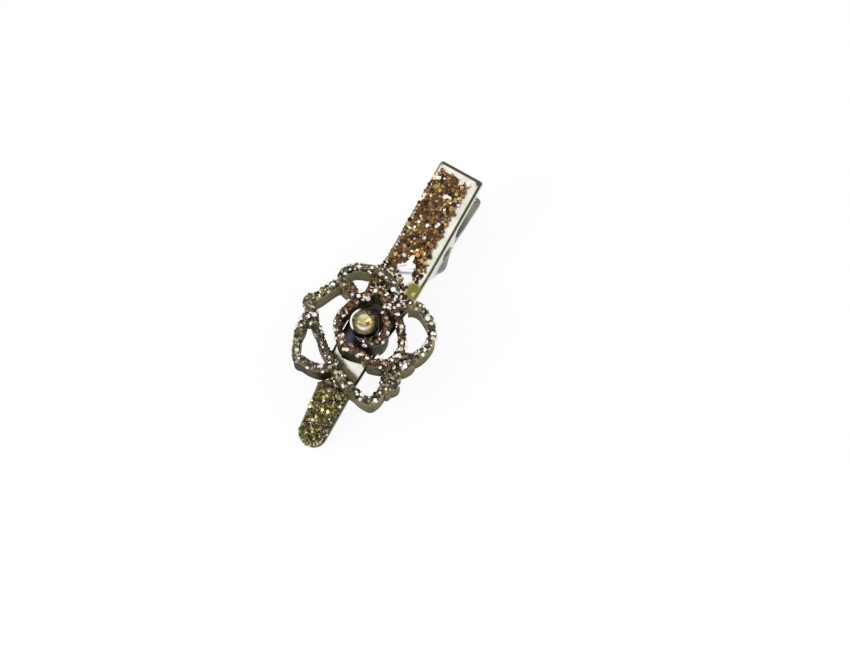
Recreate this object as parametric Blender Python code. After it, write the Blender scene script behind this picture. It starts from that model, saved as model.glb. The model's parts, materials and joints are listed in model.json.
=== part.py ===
"""Duckbill hair clip with an openwork rose, as an assembly of separate pieces.

The clip lies on a flat surface as it does on a table, on the rear edge of its lever and
on the tip of its upper arm. +X points to the rear of the clip, -X to its tip, +Z is up.
"""
import math

import bmesh
import bpy
from mathutils import Matrix, Vector

MM = 0.001

# Upper arm: one strip of pressed sheet, with a turned-down edge and two ears
SHEET = 0.5 * MM
ARM_LENGTH = 53.4 * MM
ARM_HALF_WIDTH = 4.0 * MM
TAPER_START = 24.0 * MM
TIP_HALF_WIDTH = 2.5 * MM
REAR_CORNER_RADIUS = 0.5 * MM
INNER_BEND_RADIUS = 0.1 * MM
EDGE_DEPTH = 1.35 * MM
FRONT_EDGE_DEPTH = 0.9 * MM
EDGE_FADE_LENGTH = 8.0 * MM

# Side view of the upper arm: flat handle, rise, rounded crest, fall to the tip
HANDLE_LENGTH = 15.3 * MM
RISE_ANGLE = math.radians(16.0)
RISE_RADIUS = 12.0 * MM
RISE_LENGTH = 15.0 * MM
CREST_RADIUS = 12.0 * MM
FALL_ANGLE = math.radians(18.0)

# Hinge
PIVOT_FROM_REAR = 13.0 * MM
PIVOT_DEPTH = 3.6 * MM
PIN_RADIUS = 0.8 * MM
PIN_CLEARANCE = 0.05 * MM
EAR_BELOW_PIVOT = 2.8 * MM
EAR_REAR_FLAT = 0.8 * MM
EAR_REAR_SLOPE = 3.6 * MM
EAR_FRONT_FLAT = 2.1 * MM
EAR_FRONT_SLOPE = 3.7 * MM
EAR_FLARE = 0.55 * MM
DIMPLE_RADIUS = 1.4 * MM
DIMPLE_FLOOR_RADIUS = 1.15 * MM
DIMPLE_DEPTH = 0.2 * MM
PIN_HEAD_RADIUS = 1.0 * MM
PIN_HEAD_PROUD = 0.35 * MM

# Lower arm: lever behind the hinge, jaw in front of it, bent from one strip
LEVER_ANGLE = math.radians(33.0)
LEVER_LENGTH = 15.6 * MM
WEB_DROP = 4.0 * MM
LEVER_END_HALF_WIDTH = 3.1 * MM
LEVER_CORNER_RADIUS = 1.2 * MM
LEVER_WIDEN_LENGTH = 9.0 * MM
LEVER_RIM = 1.75 * MM
LEVER_END_RIM = 0.9 * MM
LEVER_RIM_FADE = 2.8 * MM
INNER_EAR_ABOVE_PIVOT = 1.6 * MM
INNER_EAR_REAR_FLAT = 2.2 * MM
INNER_EAR_REAR_SLOPE = 3.8 * MM
INNER_EAR_FRONT_FLAT = 1.6 * MM
INNER_EAR_FRONT_SLOPE = 5.4 * MM
ARM_SIDE_CLEARANCE = 0.12 * MM
JAW_HEIGHT = 1.3 * MM
JAW_SEAT_GAP = 0.2 * MM
JAW_BEND_RADIUS = 10.0 * MM
JAW_SHORT_OF_TIP = 3.4 * MM
JAW_WAVE_LENGTH = 5.3 * MM
JAW_WAVE_DEPTH = 0.45 * MM

# Torsion spring on the pin
WIRE_RADIUS = 0.35 * MM
COIL_RADIUS = 1.75 * MM
COIL_PITCH = 1.15 * MM
COIL_FULL_TURNS = 3
COIL_TURN_POINTS = 24
SPRING_LEG_REACH = 7.0 * MM
SPRING_LEG_GAP = 0.1 * MM
SPRING_LEG_POINTS = 4

# Glitter beds on the upper arm
BED_THICKNESS = 0.4 * MM
CHIP_RELIEF = 0.35 * MM
CHIP_ROW_ANGLE = 2.2
CHIP_COLUMN_ANGLE = 2.6
SEAT_GAP = 0.2 * MM
HANDLE_BED_START = 1.5 * MM
HANDLE_BED_END = 19.6 * MM
HANDLE_BED_SLANT = 1.6 * MM
HANDLE_BED_LEFT_MARGIN = 0.35 * MM
HANDLE_BED_RIGHT_MARGIN = 1.05 * MM
HANDLE_BED_RAGGED = 0.25 * MM
HANDLE_BED_RAG_ANGLE = 2.4
HANDLE_BED_ROWS = 24
HANDLE_BED_COLUMNS = 8
TIP_BED_REACH = 10.0 * MM
TIP_BED_END_MARGIN = 0.75 * MM
TIP_BED_MARGIN = 0.55 * MM
TIP_BED_ROWS = 12
TIP_BED_COLUMNS = 6

# Rose: strips of metal on edge, bent into petals and joined at their ends
ROSE_FROM_REAR = 31.8 * MM
ROSE_RADIUS = 11.0 * MM
PETAL_WALL = 1.0 * MM
PETAL_TOP_CHAMFER = 0.25 * MM
PETAL_JOINT_GAP = 0.2 * MM
OUTER_RIM = 2.6 * MM
OUTER_FOOT = -2.6 * MM
MIDDLE_RIM = 4.5 * MM
MIDDLE_FOOT = -1.0 * MM
INNER_RIM = 5.4 * MM
CUTTER_OVERRUN = 2.0 * MM
PETAL_STEPS = 4

# Stone and its cup, on the axis of the rose
STONE_RADIUS = 1.9 * MM
STONE_GIRDLE_HEIGHT = 6.35 * MM
STONE_GIRDLE_THICKNESS = 0.1 * MM
STONE_CROWN = 0.8 * MM
STONE_TABLE_RADIUS = 1.05 * MM
STONE_PAVILION = 1.1 * MM
STONE_CULET_RADIUS = 0.2 * MM
STONE_GAP = 0.1 * MM
CUP_WALL = 0.3 * MM
CUP_FLOOR = 0.3 * MM
CUP_RIM_ABOVE_GIRDLE = 0.12 * MM
CUP_STEM_RADIUS = 0.8 * MM
CUP_FOOT_RADIUS = 1.5 * MM
CUP_FOOT_THICKNESS = 0.4 * MM

# Petals: angle from the rear, in degrees, positive to the right when the tip points
# away, and the share of the rose's radius there. Each ends on the petals it butts on.
MIDDLE_REAR_SHARES = ((-49, 0.69), (-47, 0.58), (-41, 0.47), (-27, 0.47), (-15, 0.56),
                      (-4, 0.56), (8, 0.50), (20, 0.45))
MIDDLE_RIGHT_SHARES = ((19, 0.45), (38, 0.49), (53, 0.52), (69, 0.55), (82, 0.60),
                       (93, 0.65), (104, 0.67), (116, 0.67))
MIDDLE_FRONT_SHARES = ((112, 0.66), (122, 0.65), (133, 0.59), (144, 0.53), (151, 0.43),
                       (166, 0.41), (180, 0.42), (-169, 0.43))
MIDDLE_LEFT_SHARES = ((-172, 0.43), (-157, 0.42), (-138, 0.39), (-118, 0.39), (-98, 0.39),
                      (-78, 0.37), (-60, 0.38), (-48, 0.42), (-43, 0.47))
MIDDLE_CORNER_SHARES = ((89, 0.84), (97, 0.84), (105, 0.80), (110, 0.74), (115, 0.67))
OUTER_REAR_SHARES = ((-48, 0.64), (-53, 0.73), (-55, 0.83), (-52, 0.92), (-46, 0.97),
                     (-40, 0.99), (-34, 0.98), (-28, 0.96), (-22, 0.96), (-16, 0.97),
                     (-9, 0.90), (-1, 0.82), (8, 0.74), (14, 0.63), (16, 0.47))
OUTER_REAR_LEFT_SHARES = ((-56, 0.84), (-62, 0.84), (-70, 0.84), (-77, 0.85), (-84, 0.88),
                          (-89, 0.95), (-94, 0.96), (-98, 0.89), (-102, 0.81))
OUTER_LEFT_SHARES = ((-105, 0.79), (-108, 0.90), (-116, 0.92), (-123, 0.97), (-131, 1.0),
                     (-138, 1.05), (-144, 1.08), (-148, 1.02), (-154, 0.97), (-160, 0.91),
                     (-166, 0.83), (-173, 0.70))
OUTER_FRONT_SHARES = ((-101, 0.82), (-106, 0.79), (-114, 0.73), (-124, 0.67),
                      (-136, 0.656), (-150, 0.65), (-162, 0.655), (-172, 0.69),
                      (-179, 0.76), (173, 0.82), (164, 0.90), (157, 0.96), (151, 1.04),
                      (145, 1.10), (140, 1.06), (134, 0.97), (129, 0.86), (124, 0.74),
                      (121, 0.65))
OUTER_RIGHT_SHARES = ((30, 0.48), (27, 0.62), (28, 0.75), (32, 0.84), (38, 0.90),
                      (46, 0.94), (54, 0.98), (62, 1.0), (69, 0.99), (76, 0.95),
                      (83, 0.90), (89, 0.84), (93, 0.76), (95, 0.66))
OUTER_FRONT_RIGHT_SHARES = ((123, 0.71), (117, 0.86), (120, 0.95), (127, 0.95),
                            (134, 0.96))
INNER_CURL_SHARES = ((150, 0.275), (140, 0.28), (123, 0.31), (104, 0.335), (79, 0.325),
                     (50, 0.31), (24, 0.31))

# Name: table, rim height, foot height, petals that its ends butt on, crosses the strip
PETALS = {
    "middle_petal_rear": (MIDDLE_REAR_SHARES, MIDDLE_RIM, MIDDLE_FOOT, (), True),
    "middle_petal_right": (MIDDLE_RIGHT_SHARES, MIDDLE_RIM, MIDDLE_FOOT,
                           ("middle_petal_rear",), True),
    "middle_petal_front": (MIDDLE_FRONT_SHARES, MIDDLE_RIM, MIDDLE_FOOT,
                           ("middle_petal_right",), True),
    "middle_petal_left": (MIDDLE_LEFT_SHARES, MIDDLE_RIM, MIDDLE_FOOT,
                          ("middle_petal_front", "middle_petal_rear"), True),
    "inner_curl": (INNER_CURL_SHARES, INNER_RIM, MIDDLE_FOOT, (), True),
    "outer_petal_rear": (OUTER_REAR_SHARES, OUTER_RIM, OUTER_FOOT,
                         ("middle_petal_rear", "middle_petal_right"), True),
    "outer_petal_rear_left": (OUTER_REAR_LEFT_SHARES, OUTER_RIM, OUTER_FOOT,
                              ("outer_petal_rear",), False),
    "outer_petal_right": (OUTER_RIGHT_SHARES, OUTER_RIM, OUTER_FOOT,
                          ("middle_petal_right",), True),
    "middle_petal_corner": (MIDDLE_CORNER_SHARES, OUTER_RIM, OUTER_FOOT,
                            ("outer_petal_right", "middle_petal_right",
                             "middle_petal_front"), False),
    "outer_petal_front": (OUTER_FRONT_SHARES, OUTER_RIM, OUTER_FOOT,
                          ("outer_petal_rear_left", "middle_petal_front",
                           "middle_petal_corner"), True),
    "outer_petal_left": (OUTER_LEFT_SHARES, OUTER_RIM, OUTER_FOOT,
                         ("outer_petal_front",), True),
    "outer_petal_front_right": (OUTER_FRONT_RIGHT_SHARES, OUTER_RIM, OUTER_FOOT,
                                ("outer_petal_front",), False),
}

# Sizes that follow from the ones above
EDGE_RADIUS = SHEET + INNER_BEND_RADIUS
EAR_DEPTH = PIVOT_DEPTH + EAR_BELOW_PIVOT
EAR_FLARE_DEPTH = PIVOT_DEPTH + DIMPLE_RADIUS
EAR_FLARE_SHARE = (EAR_FLARE_DEPTH - EDGE_RADIUS) / (EAR_DEPTH - EDGE_RADIUS)
INNER_HALF_WIDTH = ARM_HALF_WIDTH - SHEET - ARM_SIDE_CLEARANCE
INNER_EAR_HEIGHT = WEB_DROP + INNER_EAR_ABOVE_PIVOT
JAW_DROP = SHEET + JAW_SEAT_GAP + JAW_HEIGHT
PIVOT_HOLE_RADIUS = PIN_RADIUS + PIN_CLEARANCE
TIP_CENTRE = ARM_LENGTH - TIP_HALF_WIDTH
JAW_END = ARM_LENGTH - JAW_SHORT_OF_TIP

# Side view as stretches of length and bend
CREST_ANGLE = RISE_ANGLE + FALL_ANGLE
RISE_START = HANDLE_LENGTH + RISE_RADIUS * RISE_ANGLE
CREST_START = RISE_START + RISE_LENGTH
CREST_END = CREST_START + CREST_RADIUS * CREST_ANGLE
SIDE_VIEW = ((HANDLE_LENGTH, 0.0), (RISE_RADIUS * RISE_ANGLE, RISE_ANGLE),
             (RISE_LENGTH, 0.0), (CREST_RADIUS * CREST_ANGLE, -CREST_ANGLE),
             (ARM_LENGTH, 0.0))


def smoothstep(value, low, high):
    share = min(max((value - low) / (high - low), 0.0), 1.0)
    return share * share * (3.0 - 2.0 * share)


def strip_point(run):
    """Place and heading of the strip's top at a length along it, x from the rear."""
    place = Vector((0.0, 0.0))
    heading = 0.0
    for length, bend in SIDE_VIEW:
        step = min(run, length)
        if bend:
            turn = bend * step / length
            radius = length / bend
            place += radius * Vector((math.sin(heading + turn) - math.sin(heading),
                                      math.cos(heading) - math.cos(heading + turn)))
            heading += turn
        else:
            place += step * Vector((math.cos(heading), math.sin(heading)))
        run -= step
        if run <= 0.0:
            break
    return place, heading


def up_from(heading):
    return Vector((-math.sin(heading), math.cos(heading)))


def local(side_place, across):
    """From the side view to the clip's frame: origin on the pivot, +X to the rear."""
    return Vector((PIVOT_FROM_REAR - side_place.x, -across, side_place.y + PIVOT_DEPTH))


def on_strip(run, across, height):
    place, heading = strip_point(run)
    return local(place + height * up_from(heading), across)


def on_flared_strip(run, across, height):
    """On the strip, with the lower front corners of the ears leaning outwards."""
    flare = EAR_FLARE * smoothstep(-height, EAR_FLARE_DEPTH, EAR_DEPTH)
    flare *= smoothstep(run, PIVOT_FROM_REAR - EAR_REAR_FLAT, PIVOT_FROM_REAR + EAR_FRONT_FLAT)
    return on_strip(run, across + math.copysign(flare, across), height)


def material(name, colour, metallic, roughness):
    finish = bpy.data.materials.new(name)
    finish.use_nodes = True
    shader = finish.node_tree.nodes["Principled BSDF"]
    shader.inputs["Base Color"].default_value = (*colour, 1.0)
    shader.inputs["Metallic"].default_value = metallic
    shader.inputs["Roughness"].default_value = roughness
    return finish


def add_object(name, mesh, parent, finish=None):
    piece = bpy.data.objects.new(name, mesh)
    bpy.context.collection.objects.link(piece)
    piece.parent = parent
    if finish is not None:
        mesh.materials.append(finish)
    return piece


def mesh_from(shape, name):
    bmesh.ops.recalc_face_normals(shape, faces=shape.faces)
    mesh = bpy.data.meshes.new(name)
    shape.to_mesh(mesh)
    shape.free()
    mesh.shade_smooth()
    mesh.set_sharp_from_angle(angle=math.radians(35.0))
    return mesh


def ring_faces(shape, rings, closed=True):
    for lower, upper in zip(rings, rings[1:]):
        count = len(lower)
        for index in range(count if closed else count - 1):
            after = (index + 1) % count
            shape.faces.new((lower[index], lower[after], upper[after], upper[index]))


def loft(name, sections):
    """A closed bar through sections of equal count, with flat ends."""
    shape = bmesh.new()
    rings = [[shape.verts.new(point) for point in section] for section in sections]
    ring_faces(shape, rings)
    shape.faces.new(rings[0])
    shape.faces.new(rings[-1])
    return mesh_from(shape, name)


def ladder(shape, ring):
    """Close a ring whose two halves run side by side, rung by rung."""
    half = len(ring) // 2
    for index in range(half - 1):
        far = len(ring) - 1 - index
        shape.faces.new((ring[index], ring[index + 1], ring[far - 1], ring[far]))


def pressed_pan(name, outline, edge_depth, side, place, wall_shares):
    """Pressed sheet: a flat with its edge turned to one side, down the given depth.

    The shares say at which parts of the edge's depth it has a row of points.
    """
    count = len(outline)
    normals = []
    for index, point in enumerate(outline):
        before = (point - outline[index - 1]).normalized()
        after = (outline[(index + 1) % count] - point).normalized()
        mean = (before + after).normalized()
        stretch = 1.0 / max(mean.dot(after), 0.5)
        normals.append(Vector((mean.y, -mean.x)) * stretch)
    rows = []
    for degrees in (0, 30, 60, 90):
        angle = math.radians(degrees)
        rows.append((EDGE_RADIUS * (1.0 - math.sin(angle)),
                     EDGE_RADIUS * (1.0 - math.cos(angle)), 0.0))
    rows += [(0.0, EDGE_RADIUS, share) for share in wall_shares]
    rows += [(SHEET, EDGE_RADIUS, share) for share in reversed(wall_shares)]
    rows += [(SHEET, EDGE_RADIUS, 0.0), (EDGE_RADIUS, SHEET, 0.0)]
    shape = bmesh.new()
    rings = []
    for inset, depth, share in rows:
        ring = []
        for point, normal in zip(outline, normals):
            moved = point - inset * normal
            down = depth + share * (edge_depth(point.x) - depth)
            ring.append(shape.verts.new(place(moved.x, moved.y, side * down)))
        rings.append(ring)
    ring_faces(shape, rings)
    ladder(shape, rings[0])
    ladder(shape, rings[-1])
    return mesh_from(shape, name)


def both_sides(half):
    """Outline from one side's points of run and half width, there and back."""
    left = [Vector((run, -width)) for run, width in half]
    right = [Vector((run, width)) for run, width in reversed(half)]
    return left + right


def steps(start, end, count):
    return [start + (end - start) * index / count for index in range(count)]


def arm_half_width(run):
    taper = (ARM_HALF_WIDTH - TIP_HALF_WIDTH) / (TIP_CENTRE - TAPER_START)
    return ARM_HALF_WIDTH - taper * max(run - TAPER_START, 0.0)


def rounded_tip(centre, radius):
    angles = [math.radians(degrees) for degrees in (0, 18, 36, 54, 70, 83)]
    return [(centre + radius * math.sin(angle), radius * math.cos(angle)) for angle in angles]


def corner(start, half_width, radius):
    angles = [math.radians(degrees) for degrees in (0, 30, 60, 90)]
    return [(start + radius * (1.0 - math.cos(angle)),
             half_width - radius + radius * math.sin(angle)) for angle in angles]


def upper_edge_depth(run):
    from_pivot = run - PIVOT_FROM_REAR
    rear = smoothstep(from_pivot, -EAR_REAR_FLAT - EAR_REAR_SLOPE, -EAR_REAR_FLAT)
    front = smoothstep(from_pivot, EAR_FRONT_FLAT, EAR_FRONT_FLAT + EAR_FRONT_SLOPE)
    ear_front = PIVOT_FROM_REAR + EAR_FRONT_FLAT + EAR_FRONT_SLOPE
    fade = smoothstep(run, ear_front, ear_front + EDGE_FADE_LENGTH)
    edge = EDGE_DEPTH + (FRONT_EDGE_DEPTH - EDGE_DEPTH) * fade
    return edge + (EAR_DEPTH - edge) * min(rear, 1.0 - front)


def upper_arm_mesh():
    ear_rear = PIVOT_FROM_REAR - EAR_REAR_FLAT - EAR_REAR_SLOPE
    ear_front = PIVOT_FROM_REAR + EAR_FRONT_FLAT + EAR_FRONT_SLOPE
    runs = steps(REAR_CORNER_RADIUS, ear_rear, 4)[1:]
    runs += steps(ear_rear, PIVOT_FROM_REAR - EAR_REAR_FLAT, 8)
    runs += steps(PIVOT_FROM_REAR - EAR_REAR_FLAT, PIVOT_FROM_REAR + EAR_FRONT_FLAT, 5)
    runs += steps(PIVOT_FROM_REAR + EAR_FRONT_FLAT, ear_front, 10)
    runs += steps(ear_front, CREST_START, 8)
    runs += steps(CREST_START, CREST_END, 9)
    runs += steps(CREST_END, TIP_CENTRE, 5)
    half = corner(0.0, ARM_HALF_WIDTH, REAR_CORNER_RADIUS)
    half += [(run, arm_half_width(run)) for run in runs]
    half += rounded_tip(TIP_CENTRE, TIP_HALF_WIDTH)
    return pressed_pan("upper_arm", both_sides(half), upper_edge_depth, -1.0, on_flared_strip,
                       (EAR_FLARE_SHARE, 1.0))


def web_foot():
    """Foot of the pivot on the outer face of the lower arm, in the side view."""
    pivot = Vector((PIVOT_FROM_REAR, -PIVOT_DEPTH))
    return pivot - WEB_DROP * up_from(LEVER_ANGLE)


def jaw_join():
    """Where the lever's line and the jaw's line meet: reach from the foot, run on the arm."""
    place, heading = strip_point(RISE_START)
    line = place - JAW_DROP * up_from(heading)
    along = Vector((math.cos(RISE_ANGLE), math.sin(RISE_ANGLE)))
    lever = Vector((math.cos(LEVER_ANGLE), math.sin(LEVER_ANGLE)))
    gap = line - web_foot()
    cross = lever.x * along.y - lever.y * along.x
    reach = (gap.x * along.y - gap.y * along.x) / cross
    run = (gap.x * lever.y - gap.y * lever.x) / cross
    return reach, RISE_START + run


JOIN_REACH, JOIN_RUN = jaw_join()
BEND_ANGLE = LEVER_ANGLE - RISE_ANGLE
BEND_TANGENT = JAW_BEND_RADIUS * math.tan(BEND_ANGLE / 2.0)
BEND_START = JOIN_REACH - BEND_TANGENT
BEND_END = BEND_START + JAW_BEND_RADIUS * BEND_ANGLE
JAW_START_RUN = JOIN_RUN + BEND_TANGENT
JAW_REACH = BEND_END + JAW_END - JAW_START_RUN


def lower_point(reach):
    """Outer face of the lower arm at a length from the pivot's foot, and its heading."""
    foot = web_foot()
    lever = Vector((math.cos(LEVER_ANGLE), math.sin(LEVER_ANGLE)))
    if reach <= BEND_START:
        return foot + reach * lever, LEVER_ANGLE
    if reach <= BEND_END:
        heading = LEVER_ANGLE - (reach - BEND_START) / JAW_BEND_RADIUS
        centre = foot + BEND_START * lever - JAW_BEND_RADIUS * up_from(LEVER_ANGLE)
        return centre + JAW_BEND_RADIUS * up_from(heading), heading
    place, heading = strip_point(JAW_START_RUN + reach - BEND_END)
    return place - JAW_DROP * up_from(heading), heading


def on_lower_arm(reach, across, height):
    place, heading = lower_point(reach)
    return local(place + height * up_from(heading), across)


def lower_half_width(reach):
    widen = smoothstep(reach, -LEVER_LENGTH, -LEVER_LENGTH + LEVER_WIDEN_LENGTH)
    lever = LEVER_END_HALF_WIDTH + (INNER_HALF_WIDTH - LEVER_END_HALF_WIDTH) * widen
    arm = arm_half_width(JAW_START_RUN + reach - BEND_END)
    return min(lever, arm - SHEET - ARM_SIDE_CLEARANCE)


def lower_edge_height(reach):
    end = smoothstep(reach, -LEVER_LENGTH, -LEVER_LENGTH + LEVER_RIM_FADE)
    rear = smoothstep(reach, -INNER_EAR_REAR_FLAT - INNER_EAR_REAR_SLOPE,
                      -INNER_EAR_REAR_FLAT)
    front = smoothstep(reach, INNER_EAR_FRONT_FLAT,
                       INNER_EAR_FRONT_FLAT + INNER_EAR_FRONT_SLOPE)
    lever = LEVER_END_RIM + (LEVER_RIM - LEVER_END_RIM) * end
    from_end = max(JAW_REACH - reach, 0.0)
    wave = 0.5 - 0.5 * math.cos(2.0 * math.pi * from_end / JAW_WAVE_LENGTH)
    jaw = JAW_HEIGHT - JAW_WAVE_DEPTH * wave * (1.0 if reach > BEND_END else 0.0)
    if reach < 0.0:
        return lever + (INNER_EAR_HEIGHT - lever) * rear
    return jaw + (INNER_EAR_HEIGHT - jaw) * (1.0 - front)


def lower_arm_mesh():
    ear_rear = -INNER_EAR_REAR_FLAT - INNER_EAR_REAR_SLOPE
    ear_front = INNER_EAR_FRONT_FLAT + INNER_EAR_FRONT_SLOPE
    jaw_tip_half = lower_half_width(JAW_REACH)
    reaches = steps(-LEVER_LENGTH + LEVER_CORNER_RADIUS, ear_rear, 7)[1:]
    reaches += steps(ear_rear, -INNER_EAR_REAR_FLAT, 8)
    reaches += steps(-INNER_EAR_REAR_FLAT, INNER_EAR_FRONT_FLAT, 4)
    reaches += steps(INNER_EAR_FRONT_FLAT, ear_front, 9)
    reaches += steps(ear_front, BEND_START, 3)
    reaches += steps(BEND_START, BEND_END, 4)
    reaches += steps(BEND_END, JAW_REACH - jaw_tip_half, 26)
    half = corner(-LEVER_LENGTH, LEVER_END_HALF_WIDTH, LEVER_CORNER_RADIUS)
    half += [(reach, lower_half_width(reach)) for reach in reaches]
    half += rounded_tip(JAW_REACH - jaw_tip_half, jaw_tip_half)
    return pressed_pan("lower_arm", both_sides(half), lower_edge_height, 1.0, on_lower_arm,
                       (1.0,))


def turned(name, profile, count, turn=Matrix()):
    """Turned piece on its own Z axis from points of radius and height, bottom to top."""
    shape = bmesh.new()
    rings = []
    for radius, height in profile:
        ring = []
        for index in range(count):
            angle = 2.0 * math.pi * index / count
            point = Vector((radius * math.cos(angle), radius * math.sin(angle), height))
            ring.append(shape.verts.new(turn @ point))
        rings.append(ring)
    ring_faces(shape, rings)
    shape.faces.new(rings[0])
    shape.faces.new(rings[-1])
    return mesh_from(shape, name)


def along_pin():
    """Turns a piece's own Z axis onto the pin, which lies along Y."""
    return Matrix.Rotation(math.radians(-90.0), 4, "X")


def pin_mesh():
    seat = ARM_HALF_WIDTH - DIMPLE_DEPTH + PIN_CLEARANCE
    top = ARM_HALF_WIDTH + PIN_HEAD_PROUD
    rise = top - seat
    head = [(PIN_HEAD_RADIUS, seat)]
    for degrees in (30, 55, 75, 85):
        angle = math.radians(degrees)
        head.append((PIN_HEAD_RADIUS * math.cos(angle), seat + rise * math.sin(angle)))
    half = [(PIN_RADIUS, seat)] + head
    profile = [(radius, -height) for radius, height in reversed(half)] + half
    return turned("hinge_pin", profile, 24, along_pin())


def spring_ends():
    """Ends of the two legs in the plane across the pin, as rear and up."""
    reach = SPRING_LEG_REACH
    handle = Vector((reach, PIVOT_DEPTH - SHEET - SPRING_LEG_GAP - WIRE_RADIUS))
    rearward = Vector((math.cos(LEVER_ANGLE), -math.sin(LEVER_ANGLE)))
    downward = Vector((-math.sin(LEVER_ANGLE), -math.cos(LEVER_ANGLE)))
    drop = WEB_DROP - SHEET - SPRING_LEG_GAP - WIRE_RADIUS
    return handle, reach * rearward + drop * downward


def touch_angle(end, side):
    """Angle on the coil where a straight leg to the end leaves it."""
    return math.atan2(end.y, end.x) + side * math.acos(COIL_RADIUS / end.length)


def spring_points():
    handle_end, lever_end = spring_ends()
    first = touch_angle(handle_end, 1.0)
    last = touch_angle(lever_end, -1.0) % (2.0 * math.pi)
    turned_by = 2.0 * math.pi * COIL_FULL_TURNS + last - first
    count = round(COIL_TURN_POINTS * turned_by / (2.0 * math.pi))
    width = COIL_PITCH * turned_by / (2.0 * math.pi)
    coil = []
    for index in range(count + 1):
        share = index / count
        angle = first + turned_by * share
        coil.append(Vector((COIL_RADIUS * math.cos(angle), width * (share - 0.5),
                            COIL_RADIUS * math.sin(angle))))
    start = Vector((handle_end.x, coil[0].y, handle_end.y))
    end = Vector((lever_end.x, coil[-1].y, lever_end.y))
    leg_in = [start.lerp(coil[0], index / SPRING_LEG_POINTS)
              for index in range(SPRING_LEG_POINTS)]
    leg_out = [coil[-1].lerp(end, (index + 1) / SPRING_LEG_POINTS)
               for index in range(SPRING_LEG_POINTS)]
    return leg_in + coil + leg_out


def least_gap(points, radius, skip):
    """Least gap of a tube to itself, between points further apart along it than skip."""
    least = None
    for index, point in enumerate(points):
        for other in points[index + skip:]:
            gap = (point - other).length - 2.0 * radius
            least = gap if least is None else min(least, gap)
    return least


def add_spring(parent, finish):
    points = spring_points()
    curve = bpy.data.curves.new("torsion_spring", "CURVE")
    curve.dimensions = "3D"
    curve.bevel_depth = WIRE_RADIUS
    curve.bevel_resolution = 1
    curve.use_fill_caps = True
    spline = curve.splines.new("POLY")
    spline.points.add(len(points) - 1)
    for target, point in zip(spline.points, points):
        target.co = (*point, 1.0)
        target.tilt = 0.0
    spring = bpy.data.objects.new("torsion_spring", curve)
    bpy.context.collection.objects.link(spring)
    spring.parent = parent
    curve.materials.append(finish)
    gap = least_gap(points, WIRE_RADIUS, round(COIL_TURN_POINTS / 2.0))
    print("least gap of the spring to itself, mm:", round(gap / MM, 3))
    return spring


def chip_height(row, column):
    """Height of the bed's rough top, whose larger chips stand up in uneven waves."""
    wave = math.sin(CHIP_ROW_ANGLE * row) + math.sin(CHIP_COLUMN_ANGLE * column)
    return SEAT_GAP + BED_THICKNESS + CHIP_RELIEF * (wave + 2.0) / 4.0


def bed_mesh(name, rows, columns):
    """A thin bed on the strip from rows of run, left edge and right edge."""
    sections = []
    for row, (run, left, right) in enumerate(rows):
        section = [on_strip(run, left, SEAT_GAP), on_strip(run, right, SEAT_GAP)]
        for column in range(columns + 1):
            across = right + (left - right) * column / columns
            section.append(on_strip(run, across, chip_height(row, column)))
        sections.append(section)
    return loft(name, sections)


def handle_bed_mesh():
    rows = []
    for index in range(HANDLE_BED_ROWS + 1):
        share = index / HANDLE_BED_ROWS
        run = HANDLE_BED_START + (HANDLE_BED_END - HANDLE_BED_START) * share
        ragged = HANDLE_BED_RAGGED * math.sin(HANDLE_BED_RAG_ANGLE * index)
        left = -ARM_HALF_WIDTH + EDGE_RADIUS + HANDLE_BED_LEFT_MARGIN + ragged / 2.0
        right = ARM_HALF_WIDTH - EDGE_RADIUS - HANDLE_BED_RIGHT_MARGIN - ragged
        near_front = smoothstep(run, HANDLE_BED_END - HANDLE_BED_SLANT, HANDLE_BED_END)
        right += (left - right) / 2.0 * near_front
        rows.append((run, left, right))
    return bed_mesh("handle_glitter", rows, HANDLE_BED_COLUMNS)


def tip_bed_mesh():
    end = ARM_LENGTH - EDGE_RADIUS - TIP_BED_END_MARGIN
    radius = TIP_HALF_WIDTH - TIP_BED_MARGIN
    centre = end - radius
    start = end - TIP_BED_REACH
    rows = []
    for index in range(TIP_BED_ROWS):
        run = start + (centre - start) * index / TIP_BED_ROWS
        half = arm_half_width(run) - TIP_BED_MARGIN
        rows.append((run, -half, half))
    rows += [(run, -half, half) for run, half in rounded_tip(centre, radius)]
    return bed_mesh("tip_glitter", rows, TIP_BED_COLUMNS)


def on_rose(forward, right, height):
    """A place in the rose's frame, which stands square on the rising part of the strip."""
    place, heading = strip_point(ROSE_FROM_REAR)
    along = Vector((math.cos(RISE_ANGLE), math.sin(RISE_ANGLE)))
    return local(place + forward * along + height * up_from(RISE_ANGLE), right)


def petal_path(table):
    """Smooth path through a petal's points, as forward and right in the rose's frame."""
    knots = []
    for degrees, radius_share in table:
        angle = math.radians(degrees)
        knots.append(radius_share * ROSE_RADIUS * Vector((-math.cos(angle), math.sin(angle))))
    first = 2.0 * knots[0] - knots[1]
    last = 2.0 * knots[-1] - knots[-2]
    knots = [first] + knots + [last]
    path = []
    for a, b, c, d in zip(knots, knots[1:], knots[2:], knots[3:]):
        for index in range(PETAL_STEPS):
            t = index / PETAL_STEPS
            path.append(0.5 * ((2.0 * b) + (c - a) * t + (2.0 * a - 5.0 * b + 4.0 * c - d) * t * t
                               + (3.0 * b - a - 3.0 * c + d) * t ** 3))
    path.append(knots[-2])
    return path


def lengthened(path):
    """The same path with the joint's gap added at both ends."""
    first = (path[0] - path[1]).normalized() * PETAL_JOINT_GAP
    last = (path[-1] - path[-2]).normalized() * PETAL_JOINT_GAP
    return [path[0] + first] + path[1:-1] + [path[-1] + last]


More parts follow.
